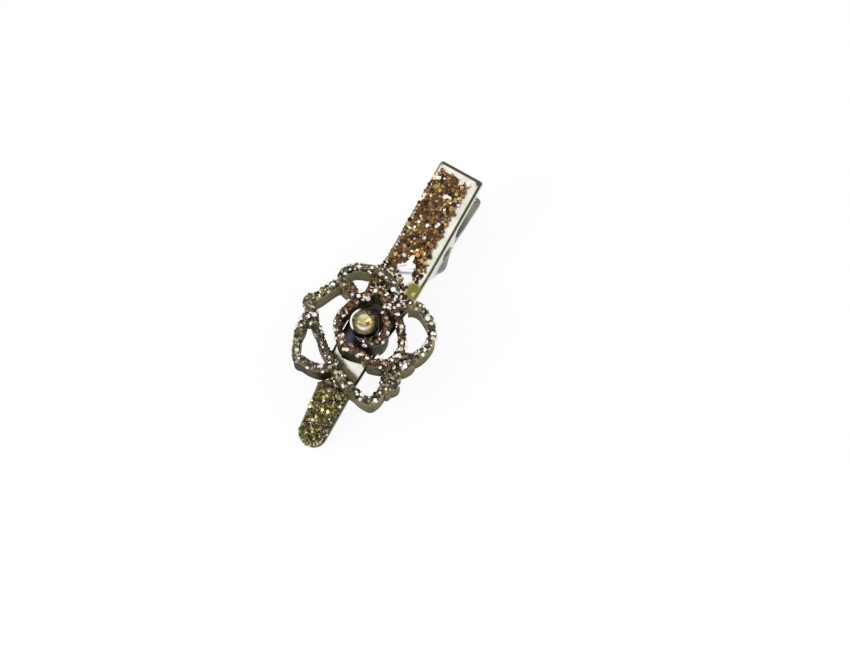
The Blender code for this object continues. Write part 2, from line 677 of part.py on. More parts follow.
def wall_mesh(name, path, wall, foot, rim, chamfer):
    """A strip on edge along a path, with its upper corners taken off."""
    half = wall / 2.0
    section = ((-half, foot), (half, foot), (half, rim - chamfer), (half - chamfer, rim),
               (chamfer - half, rim), (-half, rim - chamfer))
    if not chamfer:
        section = ((-half, foot), (half, foot), (half, rim), (-half, rim))
    sections = []
    for index, point in enumerate(path):
        before = path[max(index - 1, 0)]
        after = path[min(index + 1, len(path) - 1)]
        along = (after - before).normalized()
        out = Vector((along.y, -along.x))
        places = [(point + offset * out, height) for offset, height in section]
        sections.append([on_rose(place.x, place.y, height) for place, height in places])
    return loft(name, sections)


def as_cutter(piece):
    piece.hide_render = True
    piece.display_type = "WIRE"
    return piece


def cut(piece, cutter):
    boolean = piece.modifiers.new("cut_" + cutter.name, "BOOLEAN")
    boolean.operation = "DIFFERENCE"
    boolean.solver = "EXACT"
    boolean.object = cutter


def strip_space_mesh():
    """The room that the upper arm takes under the rose, with the seat's gap round it."""
    low = OUTER_FOOT - CUTTER_OVERRUN
    start = ROSE_FROM_REAR - ROSE_RADIUS - CUTTER_OVERRUN
    sections = []
    for run in [*steps(start, CREST_START, 6), *steps(CREST_START, CREST_END, 8),
                *steps(CREST_END, TIP_CENTRE, 3), TIP_CENTRE]:
        half = arm_half_width(run) + PETAL_JOINT_GAP
        corners = ((-half, low), (half, low), (half, SEAT_GAP), (-half, SEAT_GAP))
        sections.append([on_strip(run, across, height) for across, height in corners])
    return loft("strip_space", sections)


def add_rose(parent, finishes):
    strip_space = as_cutter(add_object("strip_space", strip_space_mesh(), parent))
    spaces = {}
    needed = {name for row in PETALS.values() for name in row[3]}
    for name, (table, rim, foot, butts_on, crosses) in PETALS.items():
        path = petal_path(table)
        mesh = wall_mesh(name, path, PETAL_WALL, foot, rim, PETAL_TOP_CHAMFER)
        petal = add_object(name, mesh, parent, finishes[name.split("_")[0]])
        if crosses:
            cut(petal, strip_space)
        for neighbour in butts_on:
            cut(petal, spaces[neighbour])
        if name in needed:
            wall = PETAL_WALL + 2.0 * PETAL_JOINT_GAP
            room = wall_mesh(name + "_space", lengthened(path), wall, foot - CUTTER_OVERRUN,
                             INNER_RIM + CUTTER_OVERRUN, 0.0)
            spaces[name] = as_cutter(add_object(name + "_space", room, parent))


def rose_axis():
    """Matrix from a piece on its own Z axis to the axis of the rose."""
    origin = on_rose(0.0, 0.0, 0.0)
    tilt = Matrix.Rotation(RISE_ANGLE, 4, "Y")
    return Matrix.Translation(origin) @ tilt


def stone_mesh():
    low = STONE_GIRDLE_HEIGHT - STONE_GIRDLE_THICKNESS
    profile = [(STONE_CULET_RADIUS, low - STONE_PAVILION), (STONE_RADIUS, low),
               (STONE_RADIUS, STONE_GIRDLE_HEIGHT),
               (STONE_TABLE_RADIUS, STONE_GIRDLE_HEIGHT + STONE_CROWN)]
    return turned("centre_stone", profile, 16, rose_axis())


def cup_mesh():
    inner = STONE_RADIUS + STONE_GAP
    outer = inner + CUP_WALL
    rim = STONE_GIRDLE_HEIGHT + CUP_RIM_ABOVE_GIRDLE
    floor = STONE_GIRDLE_HEIGHT - STONE_GIRDLE_THICKNESS - STONE_PAVILION - STONE_GAP
    foot_top = SEAT_GAP + CUP_FOOT_THICKNESS
    profile = [(CUP_FOOT_RADIUS, SEAT_GAP), (CUP_FOOT_RADIUS, foot_top),
               (CUP_STEM_RADIUS, foot_top), (CUP_STEM_RADIUS, floor - CUP_FLOOR),
               (outer, floor - CUP_FLOOR), (outer, rim), (inner, rim), (inner, floor)]
    return turned("stone_cup", profile, 32, rose_axis())


def pivot_cutters(parent):
    """Hole for the pin through all four ears, and the two dimples round its heads."""
    turn = along_pin()
    reach = ARM_HALF_WIDTH + CUTTER_OVERRUN
    hole = turned("pivot_hole", [(PIVOT_HOLE_RADIUS, -reach), (PIVOT_HOLE_RADIUS, reach)],
                  24, turn)
    cutters = [as_cutter(add_object("pivot_hole", hole, parent))]
    slope = (DIMPLE_RADIUS - DIMPLE_FLOOR_RADIUS) / DIMPLE_DEPTH
    wide = DIMPLE_RADIUS + slope * CUTTER_OVERRUN
    floor = ARM_HALF_WIDTH - DIMPLE_DEPTH
    for name, side in (("dimple_right", -1.0), ("dimple_left", 1.0)):
        profile = [(DIMPLE_FLOOR_RADIUS, side * floor), (wide, side * reach)]
        mesh = turned(name, profile, 24, turn)
        cutters.append(as_cutter(add_object(name, mesh, parent)))
    return cutters


def lower_hull(points):
    """Lower edge of the outline of points in the side view, from one end to the other."""
    hull = []
    for point in sorted(points):
        while len(hull) > 1:
            (ax, az), (bx, bz) = hull[-2], hull[-1]
            if (bx - ax) * (point[1] - az) - (bz - az) * (point[0] - ax) > 0.0:
                break
            hull.pop()
        hull.append(point)
    return hull


def set_down(root, pieces):
    """Turn and move the root so that the clip rests on the ground, centred on the origin."""
    points = [vertex.co.copy() for piece in pieces if piece.type == "MESH"
              for vertex in piece.data.vertices]
    hull = lower_hull([(point.x, point.z) for point in points])
    middle = sum(point.x for point in points) / len(points)
    tilt = 0.0
    for (ax, az), (bx, bz) in zip(hull, hull[1:]):
        if ax <= middle <= bx:
            tilt = math.atan2(bz - az, bx - ax)
    turn = Matrix.Rotation(tilt, 4, "Y")
    laid = [turn @ point for point in points]
    lows = [min(point[axis] for point in laid) for axis in range(3)]
    highs = [max(point[axis] for point in laid) for axis in range(3)]
    root.rotation_euler = (0.0, tilt, 0.0)
    root.location = (-(lows[0] + highs[0]) / 2.0, -(lows[1] + highs[1]) / 2.0, -lows[2])
    print("tilt on the ground, degrees:", round(math.degrees(tilt), 3))
    print("pivot, mm:", [round(value / MM, 4) for value in root.location])
    print("size, mm:", [round((high - low) / MM, 3) for low, high in zip(lows, highs)])


def build():
    for old in list(bpy.data.objects):
        bpy.data.objects.remove(old, do_unlink=True)

    nickel = material("nickel_strip", (0.62, 0.60, 0.50), 1.0, 0.22)
    dark_nickel = material("nickel_lever", (0.46, 0.44, 0.36), 1.0, 0.28)
    steel = material("spring_steel", (0.40, 0.40, 0.40), 1.0, 0.35)
    pin_steel = material("pin_steel", (0.72, 0.70, 0.62), 1.0, 0.2)
    copper_glitter = material("copper_glitter", (0.38, 0.17, 0.05), 0.6, 0.3)
    olive_glitter = material("olive_glitter", (0.30, 0.27, 0.06), 0.6, 0.3)
    cup_metal = material("cup_metal", (0.60, 0.55, 0.38), 1.0, 0.2)
    topaz = material("topaz", (0.55, 0.38, 0.10), 0.0, 0.05)
    petal_metals = {
        "outer": material("outer_petal_metal", (0.36, 0.30, 0.18), 0.9, 0.35),
        "middle": material("middle_petal_metal", (0.34, 0.26, 0.15), 0.9, 0.35),
        "inner": material("inner_petal_metal", (0.32, 0.23, 0.13), 0.9, 0.35)}

    root = bpy.data.objects.new("clip_rest", None)
    bpy.context.collection.objects.link(root)
    hinge = bpy.data.objects.new("hinge_axis", None)
    bpy.context.collection.objects.link(hinge)
    hinge.parent = root

    upper = add_object("upper_arm", upper_arm_mesh(), hinge, nickel)
    lower = add_object("lower_arm", lower_arm_mesh(), root, dark_nickel)
    hole, *dimples = pivot_cutters(hinge)
    cut(upper, hole)
    cut(lower, hole)
    for dimple in dimples:
        cut(upper, dimple)
    add_object("hinge_pin", pin_mesh(), hinge, pin_steel)
    add_spring(hinge, steel)
    add_object("handle_glitter", handle_bed_mesh(), hinge, copper_glitter)
    add_object("tip_glitter", tip_bed_mesh(), hinge, olive_glitter)
    add_rose(hinge, petal_metals)
    add_object("stone_cup", cup_mesh(), hinge, cup_metal)
    add_object("centre_stone", stone_mesh(), hinge, topaz)

    kept = [piece for piece in bpy.data.objects if piece.type != "EMPTY"
            and not piece.hide_render]
    set_down(root, kept)


build()
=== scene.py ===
import json
import math
import random

import bpy
from mathutils import Matrix, Quaternion, Vector
from mathutils.bvhtree import BVHTree

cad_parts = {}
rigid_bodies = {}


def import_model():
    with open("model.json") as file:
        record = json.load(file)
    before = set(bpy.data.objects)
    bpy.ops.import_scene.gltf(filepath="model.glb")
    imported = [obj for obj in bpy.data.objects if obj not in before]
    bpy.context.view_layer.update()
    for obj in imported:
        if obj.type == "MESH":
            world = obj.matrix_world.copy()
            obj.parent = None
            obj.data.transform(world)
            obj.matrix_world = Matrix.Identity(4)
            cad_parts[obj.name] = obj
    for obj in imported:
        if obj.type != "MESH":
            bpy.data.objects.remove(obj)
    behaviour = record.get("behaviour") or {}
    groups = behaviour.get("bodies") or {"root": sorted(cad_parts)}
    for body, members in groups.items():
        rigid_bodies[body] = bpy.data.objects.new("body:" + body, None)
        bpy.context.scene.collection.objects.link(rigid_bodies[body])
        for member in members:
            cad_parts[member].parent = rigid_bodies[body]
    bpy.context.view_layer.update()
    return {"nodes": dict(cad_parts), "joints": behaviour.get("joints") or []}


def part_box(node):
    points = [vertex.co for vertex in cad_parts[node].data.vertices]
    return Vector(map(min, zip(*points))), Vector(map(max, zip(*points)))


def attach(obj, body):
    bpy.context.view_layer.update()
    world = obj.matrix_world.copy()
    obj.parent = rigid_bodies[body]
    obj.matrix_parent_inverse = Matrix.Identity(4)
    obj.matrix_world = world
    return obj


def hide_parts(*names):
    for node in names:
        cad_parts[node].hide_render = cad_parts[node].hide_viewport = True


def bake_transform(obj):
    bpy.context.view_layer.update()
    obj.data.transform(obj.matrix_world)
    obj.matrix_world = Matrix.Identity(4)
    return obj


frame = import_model()

mm = 0.001
restTilt = math.radians(-16.815)                      # the handle's lean as the clip lies


def report(stage):
    print("scene:", stage)


# Shader maths: one class wraps a node's output, so that a mask reads as a sum
class Shade:
    def __init__(self, tree, socket=None):
        self.tree = tree
        self.socket = socket

    def feed(self, target, value):
        if isinstance(value, Shade):
            self.tree.links.new(value.socket, target)
        else:
            target.default_value = value

    def make(self, kind, settings=None, inputs=None, out=0):
        node = self.tree.nodes.new(kind)
        for name, value in (settings or {}).items():
            if name == "stops":
                fillRamp(node.color_ramp, value)
            else:
                setattr(node, name, value)
        for name, value in (inputs or {}).items():
            self.feed(node.inputs[name], value)
        return Shade(self.tree, node.outputs[out])

    def maths(self, operation, *values):
        return self.make("ShaderNodeMath", {"operation": operation}, dict(enumerate(values)))

    def size(self):                                   # without its sign
        return self.maths("ABSOLUTE", self)

    def __add__(self, other):
        return self.maths("ADD", self, other)

    __radd__ = __add__

    def __sub__(self, other):
        return self.maths("SUBTRACT", self, other)

    def __rsub__(self, other):
        return self.maths("SUBTRACT", other, self)

    def __mul__(self, other):
        return self.maths("MULTIPLY", self, other)

    __rmul__ = __mul__

    def __or__(self, other):                          # the larger of the two
        return self.maths("MAXIMUM", self, other)

    def __and__(self, other):                         # the smaller of the two
        return self.maths("MINIMUM", self, other)

    def clipped(self, low, high):                     # 0 at low, 1 at high, straight between
        return self.make("ShaderNodeMapRange", {"clamp": True}, {0: self, 1: low, 2: high})

    def mixed(self, one, other):                      # this mask leads from one colour to the other
        return self.make("ShaderNodeMix", {"data_type": "RGBA"},
                         {0: self, 6: asColour(one), 7: asColour(other)}, 2)

    def place(self):
        return self.make("ShaderNodeTexCoord", out="Object")

    def facing(self, direction):                      # 1 where the surface faces that way
        normal = self.make("ShaderNodeTexCoord", out="Normal")
        return self.make("ShaderNodeVectorMath", {"operation": "DOT_PRODUCT"},
                         {0: normal, 1: direction}, 1)

    def noise(self, grain, detail=2.0):               # grain is the size of its spots
        return self.make("ShaderNodeTexNoise", None,
                         {"Vector": self.place(), "Scale": 1.0 / grain, "Detail": detail})

    def part(self, axis):                             # x, y or z of the place
        return self.make("ShaderNodeSeparateXYZ", None, {0: self.place()}, axis)

    def distanceFrom(self, x, y):                     # across the ground, from the upright there
        flat = self.make("ShaderNodeVectorMath", {"operation": "MULTIPLY"},
                         {0: self.place(), 1: (1, 1, 0)})
        return self.make("ShaderNodeVectorMath", {"operation": "DISTANCE"},
                         {0: flat, 1: (x, y, 0)}, 1)

    def spots(self, circles):                         # distance outside the nearest of the circles
        outside = [self.distanceFrom(x * mm, y * mm) - radius * mm for x, y, radius in circles]
        nearest = outside[0]
        for distance in outside[1:]:
            nearest = nearest & distance
        return nearest


def asColour(value):
    return value if isinstance(value, Shade) else (*value, 1.0)


def fillRamp(ramp, stops):
    while len(ramp.elements) < len(stops):
        ramp.elements.new(1.0)
    for element, (place, colour) in zip(ramp.elements, stops):
        element.position = place
        element.color = (*colour, 1.0)


def startMaterial(name, metallic, roughness=0.5):     # left out where the roughness varies
    finish = bpy.data.materials.new(name)
    finish.use_nodes = True
    shader = finish.node_tree.nodes["Principled BSDF"]
    shader.inputs["Metallic"].default_value = metallic
    shader.inputs["Roughness"].default_value = roughness
    return finish, Shade(finish.node_tree), shader


def varyRoughness(shade, shader, mask, lowest, spread):
    shade.feed(shader.inputs["Roughness"], mask * spread + lowest)


def addBump(shade, shader, height, depth, strength):
    bumped = shade.make("ShaderNodeBump", None,
                        {"Height": height, "Distance": depth, "Strength": strength})
    shade.feed(shader.inputs["Normal"], bumped)


# Places along the clip: the frame of the strip, with its origin on the hinge
hinge = frame["joints"][0]
hingePlace = Vector(hinge["pos_m"])
clipFrame = Matrix.Translation(hingePlace) @ Matrix.Rotation(restTilt, 4, "Y")
handleUp = clipFrame.to_3x3() @ Vector((0, 0, 1))
stoneLow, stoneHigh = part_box("centre_stone")
roseCentre = (stoneLow + stoneHigh) / 2               # on the axis through the stone
roseUp = Vector((0, 0, 1))

petals = sorted(name for name in frame["nodes"] if "petal" in name or name == "inner_curl")
outerPetals = [name for name in petals if "outer" in name or "corner" in name]


# Materials: a pair such as a facing, a fade or a depth says where a mask is 0 and where it is 1
marks = {                                             # circles on the strip: x, y and radius in mm
    "bareHighlight": ((5.4, 0.25, 0.95), (6.1, -0.85, 0.7), (4.9, -0.95, 0.9),
             (3.95, -1.65, 0.8), (7.3, -0.1, 0.45), (6.7, -0.3, 0.5)),
    "gold": ((3.1, -3.05, 1.0), (2.1, -3.35, 1.0)),
    "rearCornerReflections": ((23.2, 3.4, 0.3), (23.15, -3.75, 0.5)),
    "shadedWells": ((roseCentre.x / mm, roseCentre.y / mm, 3.1),
              (roseCentre.x / mm + 2.0, roseCentre.y / mm, 2.6)),
    "bareMargin": 0.12, "goldMargin": 0.1, "bareFade": (0.15 * mm, 0.0)}

plate = {
    "face": (0.91, 0.89, 0.81), "worn": (0.72, 0.68, 0.54), "bend": (0.085, 0.088, 0.05),
    "leftBendReflection": (0.34, 0.34, 0.29), "earSideShade": (0.66, 0.67, 0.61), "earLowShade": (0.18, 0.19, 0.155),
    "bareHighlight": (0.93, 0.93, 0.95), "gold": (0.22, 0.20, 0.045), "shadeUnderRose": (0.075, 0.07, 0.085),
    "bendFacing": (0.12, 0.4), "rearFacing": (0.35, 0.6), "leftFacing": (0.1, 0.3),
    "earFacing": (0.85, 0.97), "earHeight": (7.6 * mm, 6.4 * mm),
    "cornerFade": (0.3 * mm, 0.0), "wellFade": (0.9 * mm, 0.0), "goldFade": (0.6 * mm, -0.1 * mm),
    "goldCloud": 1.2 * mm, "goldShare": (0.2, 0.45), "edgeInset": 0.95 * mm,
    "edgeFade": 0.12 * mm, "cloud": 2.2 * mm, "wornShare": (0.4, 0.75),
    "sheen": 0.88 * mm, "roughness": (0.12, 0.18), "scratch": 0.12 * mm, "bump": (0.01 * mm, 0.2)}


def makePlate():
    finish, shade, shader = startMaterial("nickelPlate", 1.0)
    leftward = shade.facing(Vector((0, 1, 0)))
    sideways = leftward.size()
    rearward = shade.facing(Vector((1, 0, 0)))
    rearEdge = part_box("upper_arm")[1].x - plate["edgeInset"]
    # painted reflection: the bends, the rear face, the rear corners and the top's last strip before
    # the rear edge are painted dark, bends facing left a lighter grey
    bend = sideways.clipped(*plate["bendFacing"]) | rearward.clipped(*plate["rearFacing"])
    bend = bend | shade.spots(marks["rearCornerReflections"]).clipped(*plate["cornerFade"])
    bend = bend | shade.part(0).clipped(rearEdge, rearEdge + plate["edgeFade"])
    edge = leftward.clipped(*plate["leftFacing"]).mixed(plate["bend"], plate["leftBendReflection"])
    # painted shade: faces turned sideways, such as the ears, are painted greyer than the top, and
    # dark low down
    earSideShade = shade.part(2).clipped(*plate["earHeight"]).mixed(plate["earSideShade"], plate["earLowShade"])
    wear = shade.noise(plate["cloud"]).clipped(*plate["wornShare"])
    strip = bend.mixed(wear.mixed(plate["face"], plate["worn"]), edge)
    colour = sideways.clipped(*plate["earFacing"]).mixed(strip, earSideShade)
    # no chips lie in the bare circles, and the strip is painted white there: bare metal with a
    # painted highlight
    bareHighlight = shade.spots(marks["bareHighlight"]).clipped(*marks["bareFade"])
    tarnish = shade.noise(plate["goldCloud"]).clipped(*plate["goldShare"])
    gold = shade.spots(marks["gold"]).clipped(*plate["goldFade"]) * tarnish
    marked = gold.mixed(bareHighlight.mixed(colour, plate["bareHighlight"]), plate["gold"])
    # painted shade: inside the rose the strip is painted near black, where the deep walls shade it
    wellShade = shade.spots(marks["shadedWells"]).clipped(*plate["wellFade"])
    shade.feed(shader.inputs["Base Color"], wellShade.mixed(marked, plate["shadeUnderRose"]))
    varyRoughness(shade, shader, shade.noise(plate["sheen"]), *plate["roughness"])
    addBump(shade, shader, shade.noise(plate["scratch"], 3.0), *plate["bump"])
    return finish


lever = {
    "face": (0.30, 0.31, 0.235), "edge": (0.15, 0.15, 0.105), "front": (0.08, 0.09, 0.05),
    "sideFacing": (0.5, 0.9), "frontFades": ((23 * mm, 18.5 * mm), (9 * mm, 14 * mm)),
    "frontWeight": 0.8, "cloud": 2.0 * mm, "cloudShare": (0.35, 0.7), "cloudWeight": 0.5,
    "roughness": (0.22, 0.15), "scratch": 0.15 * mm, "bump": (0.01 * mm, 0.2)}


def makeLeverPlate():
    finish, shade, shader = startMaterial("dullNickel", 1.0)
    cloud = shade.noise(lever["cloud"]).clipped(*lever["cloudShare"])
    # painted shade: side faces take the dark edge colour, which also darkens random cloudy patches,
    # and a band near the hinge is painted near black
    side = shade.facing(Vector((0, 1, 0))).size().clipped(*lever["sideFacing"])
    face = (cloud * lever["cloudWeight"]).mixed(lever["face"], lever["edge"])
    rearFade, hingeFade = lever["frontFades"]
    front = shade.part(0).clipped(*rearFade) * shade.part(0).clipped(*hingeFade)
    colour = (front * lever["frontWeight"]).mixed(side.mixed(face, lever["edge"]), lever["front"])
    shade.feed(shader.inputs["Base Color"], colour)
    varyRoughness(shade, shader, cloud, *lever["roughness"])
    addBump(shade, shader, shade.noise(lever["scratch"], 3.0), *lever["bump"])
    return finish


petalMetal = {
    "wall": (0.200, 0.190, 0.075), "low": (0.105, 0.095, 0.042), "rim": (0.09, 0.065, 0.035),
    "chamfer": (0.52, 0.49, 0.38), "paleHighlight": (0.80, 0.79, 0.70), "tint": (0.45, 0.42, 0.22, 1),
    "specular": 0.25, "darker": 0.8, "cloud": 1.6 * mm, "cloudShare": (0.35, 0.65),
    "lowDepth": (1.2 * mm, 4.5 * mm), "paleDepth": (1.1 * mm, 0.55 * mm),
    "paleCloud": 1.9 * mm, "paleShare": (0.56, 0.62), "highlightStreak": 1.1 * mm, "streakFade": 0.08,
    "chamferFacing": (0.25, 0.5), "rimFacing": (0.85, 0.95), "roughness": (0.3, 0.2),
    "pit": 0.18 * mm, "bump": (0.02 * mm, 0.25)}


def makePetalMetal(name, rimNode, shine, share):      # a lower shine has more bright streaks
    finish, shade, shader = startMaterial(name, 0.55)
    shader.inputs["Specular Tint"].default_value = petalMetal["tint"]
    shader.inputs["Specular IOR Level"].default_value = petalMetal["specular"]
    up = shade.facing(roseUp)
    height = shade.part(2)
    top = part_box(rimNode)[1].z
    light, dark, low = ([share * part * value for value in petalMetal[colour]]
                        for part, colour in ((1.0, "wall"), (petalMetal["darker"], "wall"),
                                             (1.0, "low")))
    cloud = shade.noise(petalMetal["cloud"]).clipped(*petalMetal["cloudShare"])
    # painted shade: the walls are painted darker towards their foot, deep in the rose
    deep = height.clipped(*(top - depth for depth in petalMetal["lowDepth"]))
    wall = deep.mixed(cloud.mixed(light, dark), low)
    # painted highlight: pale blotches are painted near the top of the walls
    high = height.clipped(*(top - depth for depth in petalMetal["paleDepth"]))
    wallHighlight = shade.noise(petalMetal["paleCloud"], 0.0).clipped(*petalMetal["paleShare"]) * high
    # painted highlight: pale streaks are painted along the chamfer under the rim
    highlightStreak = shade.noise(petalMetal["highlightStreak"], 1.0).clipped(
        shine, shine + petalMetal["streakFade"])
    chamfer = (up.clipped(*petalMetal["chamferFacing"]) * highlightStreak).mixed(
        wallHighlight.mixed(wall, petalMetal["paleHighlight"]), petalMetal["chamfer"])
    rim = up.clipped(*petalMetal["rimFacing"])
    shade.feed(shader.inputs["Base Color"], rim.mixed(chamfer, petalMetal["rim"]))
    varyRoughness(shade, shader, cloud, *petalMetal["roughness"])
    addBump(shade, shader, shade.noise(petalMetal["pit"]), *petalMetal["bump"])
    return finish


steel = {"cloud": 0.8 * mm, "cloudShare": (0.3, 0.7), "darker": 0.7, "pit": 0.1 * mm,
         "bump": (0.01 * mm, 0.2)}


def makeSteel(name, colour, roughness):
    finish, shade, shader = startMaterial(name, 1.0, roughness)
    cloud = shade.noise(steel["cloud"]).clipped(*steel["cloudShare"])
    darker = [steel["darker"] * part for part in colour]
    shade.feed(shader.inputs["Base Color"], cloud.mixed(colour, darker))
    addBump(shade, shader, shade.noise(steel["pit"]), *steel["bump"])
    return finish


glue = {"grain": 0.35 * mm, "brightShare": (0.4, 1.0), "bareHighlight": (0.95, 0.94, 0.93), "coat": 0.6,
        "bump": (0.08 * mm, 0.3)}


def makeGlue(name, dark, bright, circles=()):         # bare within the circles
    finish, shade, shader = startMaterial(name, 0.4, 0.25)
    cells = shade.make("ShaderNodeTexVoronoi", None,
                       {"Vector": shade.place(), "Scale": 1.0 / glue["grain"]}, "Color")
    grey = shade.make("ShaderNodeSeparateColor", None, {0: cells})
    colour = grey.clipped(*glue["brightShare"]).mixed(dark, bright)
    if circles:
        # in the bare circles the glue is painted white: a painted highlight on the bare spot
        colour = shade.spots(circles).clipped(*marks["bareFade"]).mixed(colour, glue["bareHighlight"])
    shade.feed(shader.inputs["Base Color"], colour)
    shader.inputs["Coat Weight"].default_value = glue["coat"]
    addBump(shade, shader, grey, *glue["bump"])
    return finish


glitter = {
    "roughness": (0.16, 0.15),
    "copper": ((0.0, (0.024, 0.012, 0.006)), (0.2, (0.075, 0.032, 0.010)),
               (0.42, (0.19, 0.085, 0.022)), (0.6, (0.34, 0.185, 0.050)),
               (0.7, (0.36, 0.27, 0.08)), (0.76, (0.62, 0.40, 0.09)),
               (0.8, (0.48, 0.40, 0.22)), (0.87, (0.62, 0.52, 0.36)),
               (0.92, (0.88, 0.83, 0.72)), (1.0, (1.0, 0.98, 0.94))),
    "olive": ((0.0, (0.020, 0.018, 0.010)), (0.25, (0.085, 0.070, 0.020)),
              (0.45, (0.175, 0.128, 0.030)), (0.65, (0.26, 0.215, 0.045)),
              (0.76, (0.42, 0.43, 0.07)), (0.85, (0.46, 0.43, 0.24)),
              (0.92, (0.72, 0.72, 0.62)), (1.0, (0.98, 0.98, 0.92))),
    "champagne": ((0.0, (0.022, 0.017, 0.014)), (0.2, (0.070, 0.052, 0.034)),
                  (0.4, (0.150, 0.113, 0.068)), (0.6, (0.28, 0.23, 0.14)),
                  (0.72, (0.42, 0.38, 0.11)), (0.82, (0.52, 0.47, 0.36)),
                  (0.92, (0.85, 0.82, 0.74)), (1.0, (1.0, 0.99, 0.96))),
    "bronze": ((0.0, (0.022, 0.012, 0.010)), (0.25, (0.065, 0.032, 0.018)),
               (0.45, (0.130, 0.066, 0.032)), (0.65, (0.23, 0.13, 0.055)),
               (0.76, (0.45, 0.30, 0.10)), (0.85, (0.40, 0.33, 0.22)),
               (0.92, (0.86, 0.80, 0.70)), (1.0, (1.0, 0.98, 0.95)))}


def makeGlitter(name, colours):                       # each chip carries its own share
    finish, shade, shader = startMaterial(name, 0.75)
    share = shade.make("ShaderNodeAttribute", {"attribute_name": "chipShare"}, out="Fac")
    colour = shade.make("ShaderNodeValToRGB", {"stops": glitter[colours]}, {0: share})
    shade.feed(shader.inputs["Base Color"], colour)
    varyRoughness(shade, shader, share, *glitter["roughness"])
    return finish


topaz = {
    "paleHighlight": (1.0, 0.97, 0.86), "gold": (0.74, 0.64, 0.30), "deep": (0.60, 0.46, 0.16),
    "girdleShade": (0.07, 0.05, 0.012), "glints": ((-0.95, 0.0, 0.75), (0.78, 0.49, 0.6)),
    "glintFade": (0.2 * mm, 0.0), "girdleReach": (1.35 * mm, 1.6 * mm),
    "cloud": 1.4 * mm, "deepShare": (0.4, 0.6), "roughness": 0.06, "bending": 1.6}


def makeTopaz():
    finish, shade, shader = startMaterial("topazGlass", 0.0, topaz["roughness"])
    cloud = shade.noise(topaz["cloud"]).clipped(*topaz["deepShare"])
    # painted highlight: pale glints are painted into the stone's colour; painted shade: its girdle
    # is painted near black
    glints = shade.spots([(roseCentre.x / mm + x, roseCentre.y / mm + y, radius)
                          for x, y, radius in topaz["glints"]])
    lit = glints.clipped(*topaz["glintFade"]).mixed(
        cloud.mixed(topaz["gold"], topaz["deep"]), topaz["paleHighlight"])
    girdleShade = shade.distanceFrom(*roseCentre.xy).clipped(*topaz["girdleReach"])
    shade.feed(shader.inputs["Base Color"], girdleShade.mixed(lit, topaz["girdleShade"]))
    shader.inputs["Transmission Weight"].default_value = 1.0
    shader.inputs["IOR"].default_value = topaz["bending"]
    return finish


cup = {
    "inside": (0.85, 0.80, 0.60), "rim": (0.035, 0.026, 0.012), "shine": (0.93, 0.91, 0.82),
    "rimReach": (1.55 * mm, 1.75 * mm), "shineSide": (-0.225, 0.974),
    "shineReach": (1.1 * mm, 1.5 * mm), "pit": 0.15 * mm, "bump": (0.01 * mm, 0.2)}


def makeCupMetal():                                   # its rim is bright on one side of the stone
    finish, shade, shader = startMaterial("darkGold", 1.0, 0.22)
    # painted shade and highlight: the rim is painted near black, and pale on the side towards
    # shineSide
    rim = shade.distanceFrom(*roseCentre.xy).clipped(*cup["rimReach"])
    towards = ((shade.part(0) - roseCentre.x) * cup["shineSide"][0]
               + (shade.part(1) - roseCentre.y) * cup["shineSide"][1])
    rimLightAndShade = towards.clipped(*cup["shineReach"]).mixed(cup["rim"], cup["shine"])
    shade.feed(shader.inputs["Base Color"], rim.mixed(cup["inside"], rimLightAndShade))
    addBump(shade, shader, shade.noise(cup["pit"]), *cup["bump"])
    return finish


materials = {
    "plate": makePlate(), "lever": makeLeverPlate(),
    "outerPetal": makePetalMetal("oliveGoldMetal", "outer_petal_rear", 0.52, 1.0),
    "middlePetal": makePetalMetal("oliveGoldMetalHigh", "middle_petal_rear", 0.52, 0.6),
    "innerPetal": makePetalMetal("oliveGoldMetalInner", "inner_curl", 0.6, 0.35),
    # painted shade: outer_petal_left gets a darker copy of the petal metal, with more painted
    # highlight streaks on its chamfer
    "shadedPetal": makePetalMetal("oliveShadedMetal", "outer_petal_left", 0.3, 0.2),
    "pin": makeSteel("rivetSteel", (0.16, 0.155, 0.14), 0.25),
    "spring": makeSteel("springSteel", (0.42, 0.42, 0.41), 0.3),
    "handleGlue": makeGlue("brownGlue", (0.03, 0.014, 0.006), (0.16, 0.07, 0.03), marks["bareHighlight"]),
    "tipGlue": makeGlue("oliveGlue", (0.025, 0.024, 0.010), (0.12, 0.11, 0.03)),
    "outerGlue": makeGlue("greyBrownGlue", (0.030, 0.023, 0.016), (0.14, 0.11, 0.07)),
    "middleGlue": makeGlue("bronzeGlue", (0.030, 0.016, 0.010), (0.13, 0.065, 0.03)),
    "copper": makeGlitter("copperGlitter", "copper"),
    "olive": makeGlitter("oliveGlitter", "olive"),
    "outerRib": makeGlitter("champagneGlitter", "champagne"),
    "middleRib": makeGlitter("bronzeGlitter", "bronze"),
    "topaz": makeTopaz(), "cup": makeCupMetal()}
report("materials made")


# Metal pieces: welded copies of the frame's pieces, with their sharp edges rounded over
def deselectAll():
    if bpy.context.object and bpy.context.object.mode != "OBJECT":
        bpy.ops.object.mode_set(mode="OBJECT")
    bpy.ops.object.select_all(action="DESELECT")


def makeActive(piece):
    deselectAll()
    bpy.context.view_layer.objects.active = piece
    piece.select_set(True)


def addObject(name, data):
    thing = bpy.data.objects.new(name, data)
    bpy.context.scene.collection.objects.link(thing)
    return thing


def copyOfMesh(mesh, name):
    piece = addObject(name, mesh.copy())
    piece.data.materials.clear()
    makeActive(piece)
    return piece


def applyModifier(piece, kind, **settings):
    makeActive(piece)
    modifier = piece.modifiers.new(kind.lower(), kind)
    for name, value in settings.items():
        setattr(modifier, name, value)
    bpy.ops.object.modifier_apply(modifier=modifier.name)


def nodeMesh(node):
    return frame["nodes"][node].data


weld = {"distance": 0.002 * mm, "flatAngle": math.radians(0.6)}


